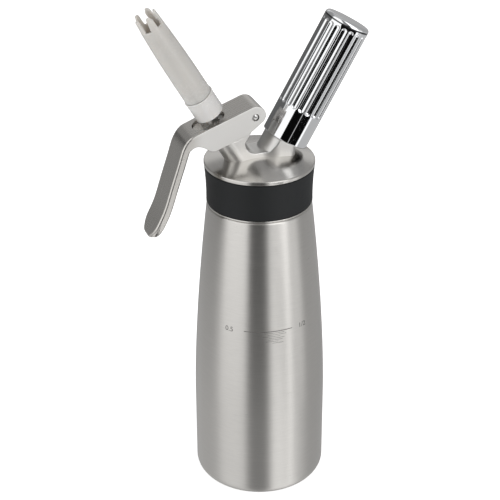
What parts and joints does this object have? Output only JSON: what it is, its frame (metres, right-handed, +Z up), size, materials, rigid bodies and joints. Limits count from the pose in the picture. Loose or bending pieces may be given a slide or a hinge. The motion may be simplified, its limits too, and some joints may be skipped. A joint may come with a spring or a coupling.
{
  "type": "whipped cream dispenser",
  "caption": "Tapered steel bottle with a screw-on head, squeeze lever on a sprung valve, pronged decorating nozzle and fluted sleeve that screws a gas charger onto a piercing pin.",
  "frame": {"origin": "centre of the bottle's flat foot, on the surface it stands on", "axes": "+Z up along the bottle's axis, +X toward the charger holder, -X toward the lever and the nozzle, +Y across the lever"},
  "size_m": [0.1379, 0.08, 0.3134],
  "materials": {
    "brushed_steel": "fine brushing round the axis",
    "satin_steel": "satin cast and brushed",
    "chrome": "mirror plated",
    "black_silicone": "matt moulded",
    "rubber": "matt",
    "white_plastic": "translucent satin",
    "brass": "turned",
    "bulb_steel": "drawn"
  },
  "bodies": {
    "bottle": {"bottle": "brushed_steel"},
    "seal": {"head_gasket": "rubber"},
    "head": {"head": "satin_steel", "heat_collar": "black_silicone", "lever_pin": "chrome", "guide_bush": "brass", "valve_spring": "brushed_steel", "piercing_holder": "brass", "piercing_pin": "brushed_steel", "charger_seal": "rubber", "gas_valve": "rubber"},
    "lever": {"lever": "satin_steel"},
    "valve": {"valve_stem": "brushed_steel", "valve_seal": "rubber", "seal_nut": "brushed_steel", "stem_o_ring_lower": "rubber", "stem_o_ring_upper": "rubber", "thrust_collar": "white_plastic", "nozzle_adapter": "white_plastic", "adapter_o_ring": "rubber"},
    "nozzle": {"nozzle": "white_plastic"},
    "charger": {"charger": "bulb_steel"},
    "holder": {"charger_holder": "chrome"}
  },
  "joints": [
    {"name": "head_lift", "type": "slide", "parent": "bottle", "child": "seal", "axis": [0, 0, 1], "range_m": [0, 0.007]},
    {"name": "head_turn", "type": "hinge", "parent": "seal", "child": "head", "pos_m": [0, 0, 0.2], "axis": [0, 0, 1], "range_deg": [0, 721]},
    {"name": "lever_pull", "type": "hinge", "parent": "head", "child": "lever", "pos_m": [-0.0061, 0, 0.2449], "axis": [0, -1, 0], "range_deg": [0, 11], "stiffness_Nm_per_rad": 0.5, "springref_deg": -20.05},
    {"name": "valve_travel", "type": "slide", "parent": "head", "child": "valve", "axis": [0.5, 0, -0.866], "range_m": [0, 0.0037], "deforming": ["valve_spring"]},
    {"name": "nozzle_pull", "type": "slide", "parent": "valve", "child": "nozzle", "axis": [-0.5, 0, 0.866], "range_m": [0, 0.012]},
    {"name": "charger_rise", "type": "slide", "parent": "head", "child": "charger", "axis": [0.5, 0, 0.866], "range_m": [0, 0.009]},
    {"name": "holder_turn", "type": "hinge", "parent": "charger", "child": "holder", "pos_m": [0, 0, 0.1979], "axis": [0.5, 0, 0.866], "range_deg": [0, 1081]}
  ],
  "couplings": [
    {"joint": "head_turn", "follows": "head_lift", "rad_per_m": 1795.2},
    {"joint": "valve_travel", "follows": "lever_pull", "m_per_rad": 0.018923},
    {"joint": "holder_turn", "follows": "charger_rise", "rad_per_m": 2094.4}
  ]
}
